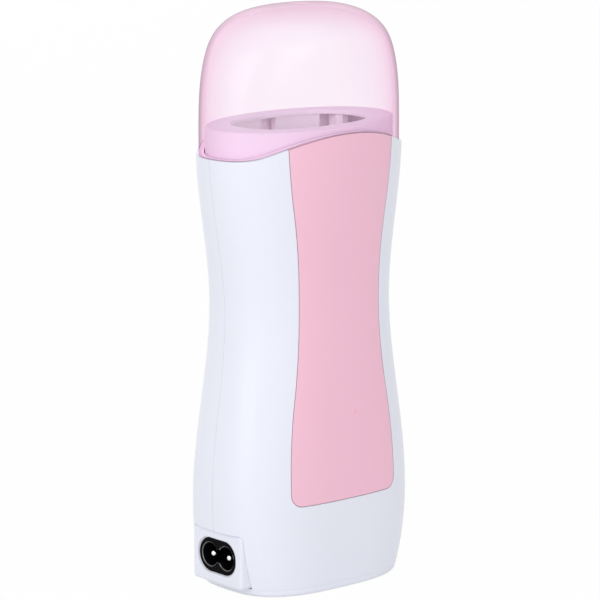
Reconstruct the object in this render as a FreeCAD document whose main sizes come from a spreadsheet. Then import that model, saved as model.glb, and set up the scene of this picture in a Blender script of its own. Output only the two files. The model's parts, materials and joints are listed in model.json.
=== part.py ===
import FreeCAD, Part

import math
import os
import re
import sys

import Sketcher

# Handheld roll-on wax heater: a waisted two-shell body with soft grip panels, a transparent
# cover, an open cartridge well with its heater, and a two-pin mains inlet on the narrow side.
# Millimetres, +Z up, X across the wide faces, the front face looks along -Y, and the origin
# is the centre of the base.

doc = FreeCAD.newDocument("RollOnWaxHeater")

# ---------------------------------------------------------------------------------------
# Driving dimensions
# ---------------------------------------------------------------------------------------

SIZES = {
    # the body's outer skin, as half sizes of its section at seven levels; the shoulder lies
    # a drop below the crest of the wavy line, and the rim a rise above it
    "overall_height": 205.0,
    "foot_half_width": 34.5,
    "foot_half_depth": 24.7,
    "hip_height": 33.0,
    "hip_half_width": 40.4,
    "hip_half_depth": 25.9,
    "flank_height": 63.0,
    "flank_half_width": 37.85,
    "flank_half_depth": 24.7,
    "waist_height": 103.0,
    "waist_half_width": 34.45,
    "waist_half_depth": 23.3,
    "chest_height": 132.0,
    "chest_half_width": 38.35,
    "chest_half_depth": 24.45,
    "shoulder_drop": 4.3,
    "shoulder_half_width": 41.3,
    "shoulder_half_depth": 25.85,
    "rim_rise": 9.7,
    "rim_half_width": 40.6,
    "rim_half_depth": 25.8,
    "foot_squareness": 2.93,
    "rim_squareness": 2.05,
    "shell_wall": 2.0,
    "rib_thickness": 1.6,
    "rib_root": 0.6,
    # the wavy line where the shells end and the cover begins
    "wave_crest_height": 162.3,
    "wave_depth": 7.9,
    "wave_crest_radius": 78.0,
    "wave_trough_radius": 25.0,
    # the hourglass grip panels
    "panel_thickness": 1.1,
    "panel_gap": 0.12,
    "panel_bottom_height": 32.5,
    "panel_corner_radius": 4.5,
    "panel_hip_half_width": 24.1,
    "panel_waist_half_width": 18.5,
    # the transparent cover, set in from the shoulder; its narrow sides begin to draw in a
    # drop below the deck, its wide faces a drop below the top
    "cover_side_inset": 0.9,
    "cover_face_inset": 0.25,
    "cover_wall": 1.9,
    "cover_side_drop": 5.8,
    "cover_cheek_drop": 15.0,
    "cover_side_fullness": 3.2,
    "cover_cheek_fullness": 2.45,
    "cover_seat_gap": 0.3,
    "dimple_radius": 3.6,
    "dimple_depth": 0.45,
    # the collar that carries the cover and frames the cartridge well
    "deck_rise": 2.0,
    "deck_thickness": 1.5,
    "collar_wall": 2.0,
    "collar_clearance": 0.4,
    "collar_overlap": 5.4,
    "lock_groove_rise": 1.6,
    "lock_groove_width": 2.0,
    "lock_groove_depth": 0.9,
    "lock_clearance": 0.15,
    "well_half_width": 26.5,
    "well_half_depth": 16.5,
    "well_squareness": 2.4,
    "well_lead_in": 0.5,
    "deck_edge_radius": 0.7,
    # base plate and its screws
    "base_thickness": 3.0,
    "base_edge_radius": 1.4,
    "lip_height": 3.0,
    "lip_wall": 1.4,
    "lip_room": 0.5,
    "fit_clearance": 0.1,
    "base_screw_x": 20.0,
    "base_screw_y": 16.5,
    "base_boss_radius": 3.0,
    "base_boss_height": 10.0,
    "screw_radius": 1.2,
    "screw_play": 0.3,
    "thread_clearance": 0.05,
    "thread_relief": 1.0,
    "run_out": 1.0,
    "base_screw_length": 9.0,
    "base_screw_head_radius": 2.6,
    "base_screw_head_height": 1.5,
    "base_screw_sink": 0.2,
    # the screws that join the shells, hidden under the rear grip
    "shell_screw_x": 19.0,
    "shell_screw_height": 46.0,
    "front_boss_radius": 3.2,
    "rear_boss_radius": 4.2,
    "shell_screw_seat_y": 12.0,
    "shell_screw_length": 22.0,
    "shell_screw_head_radius": 2.8,
    "shell_screw_head_height": 2.0,
    # mains inlet: a two-pin figure-eight socket in a block on the narrow side, whose depths
    # are measured from the block's face
    "inlet_face_inset": 1.9,
    "inlet_depth": 10.0,
    "inlet_half_width": 13.2,
    "inlet_top_height": 22.4,
    "inlet_ear_width": 1.3,
    "inlet_ear_depth": 1.5,
    "inlet_corner_radius": 1.6,
    "inlet_edge_radius": 1.2,
    "inlet_centre_height": 13.0,
    "socket_rim_recess": 0.5,
    "socket_half_span": 3.9,
    "socket_end_radius": 6.1,
    "socket_depth": 17.5,
    "socket_flange_thickness": 1.5,
    "socket_flange_width": 1.2,
    "pin_half_pitch": 4.3,
    "pin_radius": 1.2,
    "pin_tip_recess": 1.4,
    "cavity_lobe_radius": 4.2,
    "cavity_waist_height": 4.8,
    "cavity_depth": 13.0,
    "cradle_height": 14.0,
    "tab_length": 7.0,
    "tab_width": 2.8,
    "tab_thickness": 0.8,
    # heating well
    "sleeve_wall": 1.2,
    "sleeve_top_gap": 0.3,
    "sleeve_ring_height": 4.0,
    "sleeve_ring_wall": 1.6,
    "skirt_height": 6.0,
    "skirt_step": 0.4,
    "end_window_width": 13.2,
    "side_window_x": 20.2,
    "side_window_width": 4.4,
    "middle_window_width": 6.8,
    "seat_height": 66.0,
    "seat_thickness": 2.0,
    "seat_rim_height": 5.0,
    "seat_rim_wall": 0.8,
    "seat_drain_radius": 4.0,
    "shelf_x": 20.0,
    "shelf_reach_y": 5.0,
    "shelf_depth": 6.0,
    "pad_half_width": 11.0,
    "pad_rise": 0.2,
    "pad_lift": 8.5,
    "pad_length": 15.0,
    "ptc_half_width": 10.0,
    "ptc_thickness": 1.8,
    "ptc_length": 14.0,
    "ptc_tab_x": 6.0,
    "ptc_tab_width": 3.0,
    "ptc_tab_thickness": 0.3,
    "ptc_tab_length": 4.5,
    "ptc_tab_root": 1.0,
    "presser_height": 5.0,
    "insulator_thickness": 0.2,
    "clip_thickness": 0.4,
    "clip_length": 8.0,
    "clip_grip": 0.8,
    "contact_gap": 0.05,
    # indicator light
    "indicator_x": 4.7,
    "indicator_drop": 2.8,
    "lens_radius": 0.8,
    "lens_head_radius": 2.0,
    "lens_head_thickness": 1.4,
    "led_gap": 1.1,
    "led_radius": 1.5,
    "led_flange_radius": 1.8,
    "led_flange_thickness": 1.0,
    "led_length": 4.6,
    "board_thickness": 1.6,
    "board_left_x": 9.0,
    "board_right_x": 13.0,
    "board_drop": 1.0,
    "board_height": 18.0,
    "guide_width": 2.4,
    "guide_grip": 0.4,
    "guide_lip": 1.2,
    "guide_height": 14.0,
    "resistor_radius": 1.1,
    "resistor_length": 6.0,
    "resistor_pitch": 5.0,
    "resistor_low": 5.0,
    "resistor_wire_radius": 0.3,
    "resistor_wire_reach": 1.5,
    # thermal fuse and leads
    "fuse_y": 14.0,
    "fuse_height": 38.0,
    "fuse_length": 11.0,
    "fuse_radius": 2.0,
    "fuse_wire_length": 2.5,
    "lead_radius": 0.8,
    "led_lead_radius": 0.5,
    "led_lead_a_x": -1.0,
    "led_lead_b_x": 3.5,
    "lead_lap": 1.5,
}

# Places that follow from the sizes
PLACES = {
    # lengths that reach past the skin wherever they start inside it
    "beyond_x": "2 * hip_half_width",
    "beyond_y": "2 * hip_half_depth",
    "shoulder_height": "wave_crest_height - shoulder_drop",
    "rim_height": "wave_crest_height + rim_rise",
    "wave_trough_height": "wave_crest_height - wave_depth",
    "panel_peak_height": "waist_height + overall_height",
    "cover_half_width": "shoulder_half_width - cover_side_inset",
    "cover_half_depth": "shoulder_half_depth - cover_face_inset",
    "cover_side_height": "deck_height - cover_side_drop",
    "cover_cheek_height": "overall_height - cover_cheek_drop",
    "deck_height": "wave_crest_height + deck_rise",
    "deck_underside": "deck_height - deck_thickness",
    "collar_inset": "cover_wall + collar_clearance",
    "collar_bottom_height": "wave_trough_height - collar_overlap",
    "lock_groove_height": "collar_bottom_height + lock_groove_rise",
    # distances of the inlet's faces from the middle plane
    "inlet_face_x": "hip_half_width - inlet_face_inset",
    "inlet_back_x": "inlet_face_x - inlet_depth",
    "socket_back_x": "inlet_face_x - socket_depth",
    "cradle_bottom_height": "base_thickness + lip_height + lip_room",
    "seat_top_height": "seat_height + seat_thickness",
    "skirt_bottom_height": "deck_underside - skirt_height",
    "sleeve_top_height": "skirt_bottom_height - sleeve_top_gap",
    "pad_face_y": "well_half_depth + sleeve_wall + pad_rise",
    "pad_bottom_height": "seat_height + pad_lift",
    "ptc_bottom_height": "pad_bottom_height + (pad_length - ptc_length) / 2",
    "ptc_back_y": "pad_face_y + ptc_thickness",
    "clip_face_y": "ptc_back_y + insulator_thickness",
    "clip_back_y": "clip_face_y + clip_thickness",
    "indicator_height": "seat_height - indicator_drop",
    "lens_head_y": "flank_half_depth - shell_wall - lens_head_thickness",
    "board_face_y": "lens_head_y - led_gap - led_length",
    "board_back_y": "board_face_y - board_thickness",
    "board_bottom_height": "seat_height - board_drop - board_height",
}

sheet = doc.addObject("Spreadsheet::Sheet", "Sizes")
for row, (alias, amount) in enumerate(SIZES.items(), start=1):
    sheet.set("A%d" % row, alias)
    sheet.set("B%d" % row, "%.4f" % amount)
    sheet.setAlias("B%d" % row, alias)
doc.recompute()


def cells(expression):
    """An expression in the names of sizes and places, as FreeCAD reads it."""

    def spelled(word):
        name = word[0]
        if name in PLACES:
            return "(%s)" % cells(PLACES[name])
        return "Sizes." + name if name in SIZES else name

    return re.sub(r"[a-z]\w*", spelled, expression)


def size(expression):
    """What a size, a place or an expression in them comes to."""
    return float(sheet.evalExpression(cells(expression)))


def bind(thing, **expressions):
    for prop, expression in expressions.items():
        thing.setExpression(prop.replace("__", "."), cells(expression))


def by_code(name, shape):
    """A feature whose shape has no ready-made FreeCAD object."""
    feature = doc.addObject("Part::Feature", name)
    feature.Shape = shape
    return feature


SIDES = (("Left", -1), ("Right", 1))

# ---------------------------------------------------------------------------------------
# Forms: sections that follow one rounded-oval law, lofted from foot to rim
# ---------------------------------------------------------------------------------------

SECTION_POINTS = 24


def oval_wire(half_width, half_depth, squareness, height):
    """A level superellipse as one smooth closed curve."""
    points = []
    for step in range(SECTION_POINTS):
        turn = 2 * math.pi * step / SECTION_POINTS
        across, along = math.cos(turn), math.sin(turn)
        reach = (abs(across) ** squareness + abs(along) ** squareness) ** (-1 / squareness)
        points.append(FreeCAD.Vector(half_width * across * reach, half_depth * along * reach, height))
    curve = Part.BSplineCurve()
    knots = [step / SECTION_POINTS for step in range(SECTION_POINTS + 1)]
    curve.interpolate(Points=points, PeriodicFlag=True, Parameters=knots)
    return Part.Wire([curve.toShape()])


def squareness_at(height):
    """The section is squarer at the foot and nearly a plain ellipse at the rim."""
    share = height / size("rim_height")
    return size("foot_squareness") + (size("rim_squareness") - size("foot_squareness")) * share


def skin_form(name, inset):
    """The body's outer form, or the same form drawn in by a wall."""
    wires = []
    for level in ("foot", "hip", "flank", "waist", "chest", "shoulder", "rim"):
        height = 0.0 if level == "foot" else size(level + "_height")
        half_width = size(level + "_half_width") - inset
        half_depth = size(level + "_half_depth") - inset
        wires.append(oval_wire(half_width, half_depth, squareness_at(height), height))
    return by_code(name, Part.makeLoft(wires, True, False))


outer_form = skin_form("OuterForm", 0.0)
floor_form = skin_form("PanelFloorForm", size("panel_thickness"))
panel_back_form = skin_form("PanelBackForm", size("panel_thickness") - size("fit_clearance"))
inner_form = skin_form("InnerForm", size("shell_wall"))
rib_form = skin_form("RibForm", size("shell_wall") - size("rib_root"))
seat_form = skin_form("SeatForm", size("shell_wall") + size("fit_clearance"))


ROLL_STEPS = 4


def rolled_wires(halves_at, squareness, edge_level, radius, way):
    """Sections that draw in along a quarter circle up (way 1) or down (way -1) to a flat face."""
    wires = []
    for step in range(ROLL_STEPS + 1):
        turn = math.pi / 2 * step / ROLL_STEPS
        inset = radius * (1 - math.cos(turn))
        level = edge_level - way * radius * (1 - math.sin(turn))
        half_width, half_depth = halves_at(level)
        wires.append(oval_wire(half_width - inset, half_depth - inset, squareness, level))
    return wires


def skin_halves(height):
    """Half width and half depth of the outer form at a height."""
    section = Part.Compound(outer_form.Shape.slice(FreeCAD.Vector(0, 0, 1), max(height, 0.01)))
    extent = section.optimalBoundingBox(False, False)
    return extent.XMax, extent.YMax


def oval_prism(name, halves, squareness, levels):
    """An upright prism on a superellipse, between two levels."""
    bottom, top = levels
    face = Part.Face(oval_wire(*halves, squareness, bottom))
    return by_code(name, face.extrude(FreeCAD.Vector(0, 0, top - bottom)))


# ---------------------------------------------------------------------------------------
# Sketch helpers
# ---------------------------------------------------------------------------------------

# Sketcher's own numbers for the points of an edge and for the two axes
START, END, CENTRE = range(1, 4)
X_AXIS, UP_AXIS = range(-1, -3, -1)
ORIGIN = (X_AXIS, START)


def vec(x, y):
    return FreeCAD.Vector(x, y, 0)


def line(start, end):
    return Part.LineSegment(vec(*start), vec(*end))


def arc(centre, radius, start_angle, end_angle):
    circle = Part.Circle(vec(*centre), FreeCAD.Vector(0, 0, 1), radius)
    return Part.ArcOfCircle(circle, start_angle, end_angle)


def rule(sketch, kind, *where):
    """Adds one geometric constraint."""
    sketch.addConstraint(Sketcher.Constraint(kind, *where))


def dimension(sketch, kind, where, start_value, expression):
    """Adds one dimension and binds it to the sizes."""
    index = sketch.addConstraint(Sketcher.Constraint(kind, *where, start_value))
    sketch.setExpression("Constraints[%d]" % index, cells(expression))


def add_body(name):
    return doc.addObject("PartDesign::Body", name)


def origin_plane(body, role):
    return next(plane for plane in body.Origin.OriginFeatures if plane.Role == role)


def add_sketch(body, role, name):
    sketch = body.newObject("Sketcher::SketchObject", name)
    sketch.AttachmentSupport = [(origin_plane(body, role), "")]
    sketch.MapMode = "FlatFace"
    return sketch


# ---------------------------------------------------------------------------------------
# The wavy split between shells and cover
# ---------------------------------------------------------------------------------------


def wave_block(name, lift):
    """Everything below the wavy line, as one block; lift raises the line, for the cover's gap."""
    body = add_body(name)
    sketch = add_sketch(body, "XZ_Plane", name + "Sketch")
    crest, trough = size("wave_crest_height"), size("wave_trough_height")
    crest_radius, trough_radius = size("wave_crest_radius"), size("wave_trough_radius")
    both = crest_radius + trough_radius
    trough_x = math.sqrt(both**2 - (both - crest + trough) ** 2)
    fall = math.atan2(crest - crest_radius - trough - trough_radius, trough_x)
    reach, foot = size("beyond_x"), size("base_thickness")
    sketch.addGeometry(
        [
            line((-reach, foot), (-reach, trough)),
            line((-reach, trough), (-trough_x, trough)),
            arc((-trough_x, trough + trough_radius), trough_radius, -math.pi / 2, fall),
            arc((0, crest - crest_radius), crest_radius, -fall, math.pi + fall),
            arc((trough_x, trough + trough_radius), trough_radius, math.pi - fall, 1.5 * math.pi),
            line((trough_x, trough), (reach, trough)),
            line((reach, trough), (reach, foot)),
            line((reach, foot), (-reach, foot)),
        ],
        False,
    )
    for joint in ((0, END, 1, START), (5, END, 6, START), (6, END, 7, START), (7, END, 0, START)):
        rule(sketch, "Coincident", *joint)
    for joint in ((1, END, 2, START), (2, END, 3, END), (3, START, 4, START), (4, END, 5, START)):
        rule(sketch, "Tangent", *joint)
    for edge in (0, 6):
        rule(sketch, "Vertical", edge)
    for edge in (1, 5, 7):
        rule(sketch, "Horizontal", edge)
    rule(sketch, "Equal", 2, 4)
    rule(sketch, "PointOnObject", 3, CENTRE, UP_AXIS)
    rule(sketch, "Symmetric", 1, START, 5, END, UP_AXIS)
    dimension(sketch, "Radius", (2,), trough_radius, "wave_trough_radius")
    dimension(sketch, "Radius", (3,), crest_radius, "wave_crest_radius")
    crest_centre = "wave_crest_height - wave_crest_radius + " + lift
    dimension(sketch, "DistanceY", (*ORIGIN, 3, CENTRE), crest - crest_radius, crest_centre)
    dimension(sketch, "DistanceY", (*ORIGIN, 1, START), trough, "wave_trough_height + " + lift)
    dimension(sketch, "DistanceX", (*ORIGIN, 5, END), reach, "beyond_x")
    dimension(sketch, "DistanceY", (*ORIGIN, 7, START), foot, "base_thickness")
    pad = body.newObject("PartDesign::Pad", name + "Pad")
    pad.Profile = sketch
    pad.SideType = "Symmetric"
    bind(pad, Length="2 * beyond_y")
    return body


# ---------------------------------------------------------------------------------------
# The hourglass outline of a grip panel
# ---------------------------------------------------------------------------------------

SIDE_RADIUS = (
    "((panel_hip_half_width - panel_waist_half_width)^2"
    " + (waist_height - panel_bottom_height - panel_corner_radius)^2)"
    " / (4 * (panel_hip_half_width - panel_waist_half_width))"
)


def hourglass_block(name, shrink, rearward):
    """A block with the hourglass outline, from the middle plane out through one wide face.

    Above its last arc the outline runs straight up, past the wavy line.
    """
    body = add_body(name)
    sketch = add_sketch(body, "XZ_Plane", name + "Sketch")
    hip, waist = size("panel_hip_half_width"), size("panel_waist_half_width")
    foot, corner = size("panel_bottom_height"), size("panel_corner_radius")
    hip_height, waist_height = foot + corner, size("waist_height")
    rise = waist_height - hip_height
    radius = ((hip - waist) ** 2 + rise**2) / (4 * (hip - waist))
    bend = math.asin(rise / (2 * radius))
    top, peak = waist_height + rise, size("panel_peak_height")
    sketch.addGeometry(
        [
            line((0, foot), (hip - corner, foot)),
            arc((hip - corner, hip_height), corner, -math.pi / 2, 0),
            arc((hip - radius, hip_height), radius, 0, bend),
            arc((waist + radius, waist_height), radius, math.pi - bend, math.pi + bend),
            arc((hip - radius, top), radius, -bend, 0),
            line((hip, top), (hip, peak)),
            line((hip, peak), (0, peak)),
            line((0, peak), (0, foot)),
        ],
        False,
    )
    rule(sketch, "Tangent", 0, END, 1, START)
    rule(sketch, "Tangent", 1, END, 2, START)
    rule(sketch, "Tangent", 2, END, 3, END)
    rule(sketch, "Tangent", 3, START, 4, START)
    rule(sketch, "Tangent", 4, END, 5, START)
    rule(sketch, "Coincident", 5, END, 6, START)
    rule(sketch, "Coincident", 6, END, 7, START)
    rule(sketch, "Coincident", 7, END, 0, START)
    rule(sketch, "Horizontal", 0)
    rule(sketch, "Horizontal", 6)
    rule(sketch, "PointOnObject", 7, START, UP_AXIS)
    rule(sketch, "PointOnObject", 7, END, UP_AXIS)
    rule(sketch, "Equal", 2, 3)
    rule(sketch, "Equal", 3, 4)
    rule(sketch, "Horizontal", 1, CENTRE, 1, END)
    rule(sketch, "Horizontal", 4, CENTRE, 4, END)
    rule(sketch, "Vertical", 1, END, 4, END)
    dimension(sketch, "Radius", (1,), corner, "panel_corner_radius - " + shrink)
    dimension(sketch, "Radius", (2,), radius, SIDE_RADIUS)
    dimension(sketch, "DistanceY", (*ORIGIN, 0, START), foot, "panel_bottom_height + " + shrink)
    dimension(sketch, "DistanceX", (*ORIGIN, 1, END), hip, "panel_hip_half_width - " + shrink)
    dimension(sketch, "DistanceY", (*ORIGIN, 3, CENTRE), waist_height, "waist_height")
    dimension(sketch, "DistanceY", (*ORIGIN, 5, END), peak, "panel_peak_height")
    pad = body.newObject("PartDesign::Pad", name + "Pad")
    pad.Profile = sketch
    bind(pad, Length="beyond_y")
    pad.Reversed = rearward
    mirrored = body.newObject("PartDesign::Mirrored", name + "Mirrored")
    mirrored.Originals = [pad]
    mirrored.MirrorPlane = (origin_plane(body, "YZ_Plane"), [""])
    body.Tip = mirrored
    return body


# ---------------------------------------------------------------------------------------
# Solid helpers
# ---------------------------------------------------------------------------------------

WAYS = {
    "+x": FreeCAD.Vector(1, 0, 0),
    "+y": FreeCAD.Vector(0, 1, 0),
    "-y": FreeCAD.Vector(0, -1, 0),
    "+z": FreeCAD.Vector(0, 0, 1),
    "-z": FreeCAD.Vector(0, 0, -1),
}


def box(name, x, y, z):
    """A box; each of x, y and z is a pair of expressions, its low side and its extent."""
    solid = doc.addObject("Part::Box", name)
    bind(solid, Placement__Base__x=x[0], Placement__Base__y=y[0], Placement__Base__z=z[0])
    bind(solid, Length=x[1], Width=y[1], Height=z[1])
    return solid


def rod(name, way, radius, length, x, y, z):
    """A cylinder that starts at x, y, z and runs the given way."""
    solid = doc.addObject("Part::Cylinder", name)
    solid.Placement = FreeCAD.Placement(FreeCAD.Vector(), FreeCAD.Rotation(WAYS["+z"], WAYS[way]))
    bind(solid, Placement__Base__x=x, Placement__Base__y=y, Placement__Base__z=z)
    bind(solid, Radius=radius, Height=length)
    return solid


def ball(name, radius, x, y, z):
    solid = doc.addObject("Part::Sphere", name)
    bind(solid, Placement__Base__x=x, Placement__Base__y=y, Placement__Base__z=z)
    bind(solid, Radius=radius)
    return solid


def fuse(name, *solids):
    joined = doc.addObject("Part::MultiFuse", name)
    joined.Shapes = list(solids)
    return joined


def common(name, *solids):
    shared = doc.addObject("Part::MultiCommon", name)
    shared.Shapes = list(solids)
    return shared


def cut(name, base, *tools):
    remainder = doc.addObject("Part::Cut", name)
    remainder.Base = base
    remainder.Tool = tools[0] if len(tools) == 1 else fuse(name + "Tools", *tools)
    return remainder


def group(name, *solids):
    """Separate solids that share one node."""
    together = doc.addObject("Part::Compound", name)
    together.Links = list(solids)
    return together


def rounded(name, base, radius, wanted):
    """Rounds every edge of base that the test picks."""
    doc.recompute()
    fillet = doc.addObject("Part::Fillet", name)
    fillet.Base = base
    edges = enumerate(base.Shape.Edges, start=1)
    fillet.Edges = [(number, radius, radius) for number, edge in edges if wanted(edge)]
    return fillet


def flat_at(axis, level):
    """Picks the edges that lie wholly in one plane square to an axis."""

    def wanted(edge):
        low = getattr(edge.BoundBox, axis + "Min")
        high = getattr(edge.BoundBox, axis + "Max")
        return abs(low - level) < 1e-3 and abs(high - level) < 1e-3

    return wanted


def runs_along_x(edge):
    return edge.BoundBox.YLength < 1e-6 and edge.BoundBox.ZLength < 1e-6


NODES = []


def node(name, solid):
    """Names one finished sub-part."""
    solid.Label = name
    NODES.append(solid)
    return solid


# ---------------------------------------------------------------------------------------
# Mains inlet: a rounded block with a black figure-eight socket and two pins
# ---------------------------------------------------------------------------------------


def inlet_block(name, grow, spare):
    """The rounded block, or one grown all round and run out past its ends, as a cutting tool."""
    blank = box(
        name + "Blank",
        ("-inlet_face_x - " + spare, "inlet_depth + 2 * " + spare),
        ("-inlet_half_width - " + grow, "2 * (inlet_half_width + %s)" % grow),
        (
            "base_thickness - %s - %s" % (grow, spare),
            "inlet_top_height - base_thickness + 2 * %s + %s" % (grow, spare),
        ),
    )
    return rounded(name + "Rounded", blank, size("inlet_corner_radius"), runs_along_x)


def slot_block(name, radius, back, length):
    """A round-ended bar along X, centred on the socket; back is how far behind X = 0 it ends."""
    body = add_body(name)
    sketch = add_sketch(body, "YZ_Plane", name + "Sketch")
    bind(sketch, AttachmentOffset__Base__z="-(%s) - (%s)" % (back, length))
    span, height, end = size("socket_half_span"), size("inlet_centre_height"), size("socket_end_radius")
    sketch.addGeometry(
        [
            arc((-span, height), end, math.pi / 2, 1.5 * math.pi),
            line((-span, height - end), (span, height - end)),
            arc((span, height), end, -math.pi / 2, math.pi / 2),
            line((span, height + end), (-span, height + end)),
        ],
        False,
    )
    for joint in ((0, END, 1, START), (1, END, 2, START), (2, END, 3, START), (3, END, 0, START)):
        rule(sketch, "Tangent", *joint)
    rule(sketch, "Equal", 0, 2)
    rule(sketch, "Symmetric", 0, CENTRE, 2, CENTRE, UP_AXIS)
    dimension(sketch, "Radius", (0,), end, radius)
    dimension(sketch, "DistanceX", (*ORIGIN, 2, CENTRE), span, "socket_half_span")
    dimension(sketch, "DistanceY", (*ORIGIN, 2, CENTRE), height, "inlet_centre_height")
    pad = body.newObject("PartDesign::Pad", name + "Pad")
    pad.Profile = sketch
    bind(pad, Length=length)
    return body


def make_inlet():
    block = rounded(
        "InletSoft",
        inlet_block("InletBlock", "0", "0"),
        size("inlet_edge_radius"),
        flat_at("X", -size("inlet_face_x")),
    )
    ears = box(
        "InletEars",
        ("-inlet_back_x - inlet_ear_depth", "inlet_ear_depth"),
        ("-inlet_half_width - inlet_ear_width", "2 * (inlet_half_width + inlet_ear_width)"),
        ("cradle_bottom_height", "cradle_height"),
    )
    through = "inlet_depth + 2 * run_out"
    window = slot_block("InletWindow", "socket_end_radius", "inlet_back_x - run_out", through)
    node("inlet_bezel", cut("inlet_bezel", fuse("InletShape", block, ears), window))
    barrel = slot_block(
        "SocketBarrel",
        "socket_end_radius - contact_gap",
        "socket_back_x",
        "socket_depth - socket_rim_recess",
    )
    flange = slot_block(
        "SocketFlange",
        "socket_end_radius + socket_flange_width",
        "inlet_back_x - socket_flange_thickness",
        "socket_flange_thickness",
    )
    waist = box(
        "SocketWaist",
        ("-inlet_face_x", "socket_rim_recess + cavity_depth"),
        ("-pin_half_pitch", "2 * pin_half_pitch"),
        ("inlet_centre_height - cavity_waist_height / 2", "cavity_waist_height"),
    )
    hollows, pins = [waist], []
    lobe_depth, hole_depth = "socket_rim_recess + cavity_depth", "socket_depth + run_out"
    for tag, way in SIDES:
        y = "%d * pin_half_pitch" % way
        mouth = ("-inlet_face_x", y, "inlet_centre_height")
        hollows.append(rod("Lobe" + tag, "+x", "cavity_lobe_radius", lobe_depth, *mouth))
        hollows.append(rod("PinHole" + tag, "+x", "pin_radius + contact_gap", hole_depth, *mouth))
        pins.append(inlet_pin("Pin" + tag, y))
    node("inlet_body", cut("inlet_body", fuse("SocketShape", barrel, flange), *hollows))
    node("inlet_pins", group("inlet_pins", *pins))


def inlet_pin(name, y):
    """A round-tipped contact pin with its solder tab."""
    tip_x = "-inlet_face_x + pin_tip_recess + pin_radius"
    shank_length = "socket_depth - pin_tip_recess - pin_radius"
    shank = rod(name + "Shank", "+x", "pin_radius", shank_length, tip_x, y, "inlet_centre_height")
    tip = ball(name + "Tip", "pin_radius", tip_x, y, "inlet_centre_height")
    tab = box(
        name + "Tab",
        ("-socket_back_x", "tab_length"),
        (y + " - tab_thickness / 2", "tab_thickness"),
        ("inlet_centre_height - tab_width / 2", "tab_width"),
    )
    return fuse(name, shank, tip, tab)


# ---------------------------------------------------------------------------------------
# Shells and grip panels
# ---------------------------------------------------------------------------------------

shell_envelope = wave_block("ShellEnvelope", "0")
hollow_form = cut("HollowForm", outer_form, inner_form)
inlet_opening = inlet_block("InletOpening", "fit_clearance", "inlet_depth / 2")


def outward(side, low, extent):
    """A box's low side and extent in Y: given for the rear, moved to the front if side is -1."""
    if side > 0:
        return (low, extent)
    return ("-(%s) - (%s)" % (low, extent), extent)


def half_space(name, side):
    return box(name, ("-beyond_x", "2 * beyond_x"), outward(side, "0", "beyond_y"), ("0", "overall_height"))


def screw_bosses(prefix, side):
    """The pillars that meet in the middle plane, one pair for each shell screw."""
    radius, outward_way = ("rear_boss_radius", "+y") if side > 0 else ("front_boss_radius", "-y")
    pillars = []
    for tag, way in SIDES:
        foot = ("%d * shell_screw_x" % way, "0", "shell_screw_height")
        pillars.append(rod(prefix + "Boss" + tag, outward_way, radius, "beyond_y", *foot))
    return pillars


def base_bosses(prefix, side):
    """The bosses that take the base screws, each tied to the wall by a rib."""
    solids = []
    for tag, way in SIDES:
        x, y = "%d * base_screw_x" % way, "%d * base_screw_y" % side
        foot = (x, y, "base_thickness")
        solids.append(rod(prefix + "BaseBoss" + tag, "+z", "base_boss_radius", "base_boss_height", *foot))
        solids.append(
            box(
                prefix + "BaseRib" + tag,
                (x + " - rib_thickness / 2", "rib_thickness"),
                outward(side, "base_screw_y + screw_radius + screw_play", "beyond_y"),
                ("base_thickness", "base_boss_height"),
            )
        )
    return solids


def shelf_ribs(prefix, side):
    """The ribs that the cartridge seat stands on."""
    ribs = []
    for tag, low_x in (("Left", "-shelf_x - rib_thickness"), ("Right", "shelf_x")):
        ribs.append(
            box(
                prefix + "Shelf" + tag,
                (low_x, "rib_thickness"),
                outward(side, "shelf_reach_y", "beyond_y"),
                ("seat_height - shelf_depth", "shelf_depth"),
            )
        )
    return ribs


def cradle_ribs(prefix, side):
    """The pair of ribs that hold the ear of the inlet block between them."""
    ribs = []
    before_ear = "-inlet_back_x - inlet_ear_depth - fit_clearance - rib_thickness"
    for tag, low_x in (("Outer", before_ear), ("Inner", "-inlet_back_x + fit_clearance")):
        ribs.append(
            box(
                prefix + "Cradle" + tag,
                (low_x, "rib_thickness"),
                outward(side, "inlet_half_width + fit_clearance", "beyond_y"),
                ("cradle_bottom_height", "cradle_height"),
            )
        )
    return ribs


def lock_rib(prefix):
    """The rib that drops into the collar's groove and holds the collar down."""
    slab = level_slab(prefix + "LockSlab", "lock_clearance")
    return cut(prefix + "LockRib", slab, collar_core(prefix + "LockBore", size("lock_clearance")))


def level_slab(name, play):
    """A slab across the whole body at the lock groove, thinner than the groove by its play."""
    return box(
        name,
        ("-beyond_x", "2 * beyond_x"),
        ("-beyond_y", "2 * beyond_y"),
        ("lock_groove_height + " + play, "lock_groove_width - 2 * " + play),
    )


def collar_core(name, play):
    """What is left of the collar at the root of its groove, or the same with play round it."""
    halves = cover_halves(size("collar_inset") + size("lock_groove_depth") - play)
    levels = (size("collar_bottom_height"), size("deck_height"))
    return oval_prism(name, halves, size("rim_squareness"), levels)


def cover_halves(inset):
    """Half width and half depth of the cover at its foot, drawn in by an inset."""
    return size("cover_half_width") - inset, size("cover_half_depth") - inset


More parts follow.
